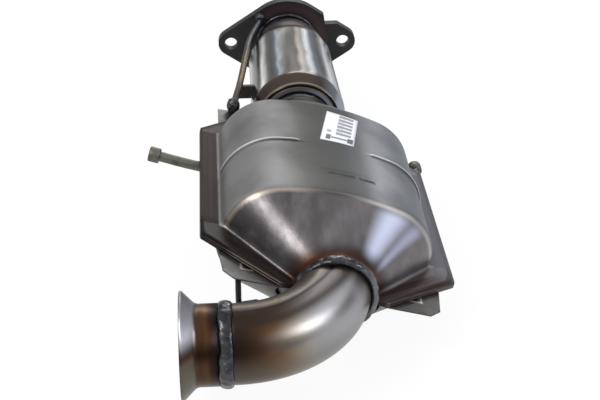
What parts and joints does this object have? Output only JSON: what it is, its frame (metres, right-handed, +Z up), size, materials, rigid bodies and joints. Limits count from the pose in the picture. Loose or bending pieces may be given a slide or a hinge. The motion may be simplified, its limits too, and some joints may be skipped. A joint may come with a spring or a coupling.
{
  "type": "catalytic converter",
  "caption": "Under-floor catalytic converter with a bolted inlet flange, flexible joint, pressed two-half body with a heat shield, and a bent, flared outlet.",
  "frame": {"origin": "centre of the inlet flange's gasket face", "axes": "+Y out of the inlet along its axis, +X to the right looking along +Y, +Z up"},
  "size_m": [0.2261, 0.5665, 0.1118],
  "materials": {
    "cast_flange": "near-black mill scale with a little brown and blue heat tint",
    "blued_steel": "dark steel, heat tinted blue and brown",
    "bright_sleeve": "polished stainless steel",
    "plain_steel": "plain stainless sheet",
    "weld_metal": "dark lumpy weld metal",
    "shell_steel": "dull grey pressed sheet, satin on the cones",
    "ceramic": "matt extruded ceramic",
    "mat_fibre": "pressed mineral fibre mat",
    "bronzed_steel": "bare steel, heat tinted bronze and violet",
    "shield_steel": "dull grey sheet",
    "hanger_steel": "dull olive-grey bar",
    "browned_rod": "bar heat tinted brown and gold"
  },
  "bodies": {
    "root": {"cat_pipe": "blued_steel", "catalyst_brick": "ceramic", "flange_weld": "weld_metal", "flex_bellows": "plain_steel", "flex_front_collar": "blued_steel", "flex_liner": "plain_steel", "flex_rear_collar": "blued_steel", "flex_sleeve": "bright_sleeve", "front_seal_ring": "plain_steel", "hanger_rod_left": "hanger_steel", "hanger_rod_right": "hanger_steel", "hanger_weld_left": "weld_metal", "hanger_weld_right": "weld_metal", "heat_shield": "shield_steel", "inlet_flange": "cast_flange", "inlet_neck_weld": "weld_metal", "inlet_pipe": "blued_steel", "lower_shell": "shell_steel", "outlet_elbow": "bronzed_steel", "outlet_fitting": "bronzed_steel", "outlet_neck_weld": "weld_metal", "outlet_weld": "weld_metal", "rear_seal_ring": "plain_steel", "shield_stay": "browned_rod", "stay_rod": "browned_rod", "stay_strut": "browned_rod", "stay_weld_front": "weld_metal", "stay_weld_rear": "weld_metal", "support_mat": "mat_fibre", "upper_shell": "shell_steel"}
  },
  "joints": []
}
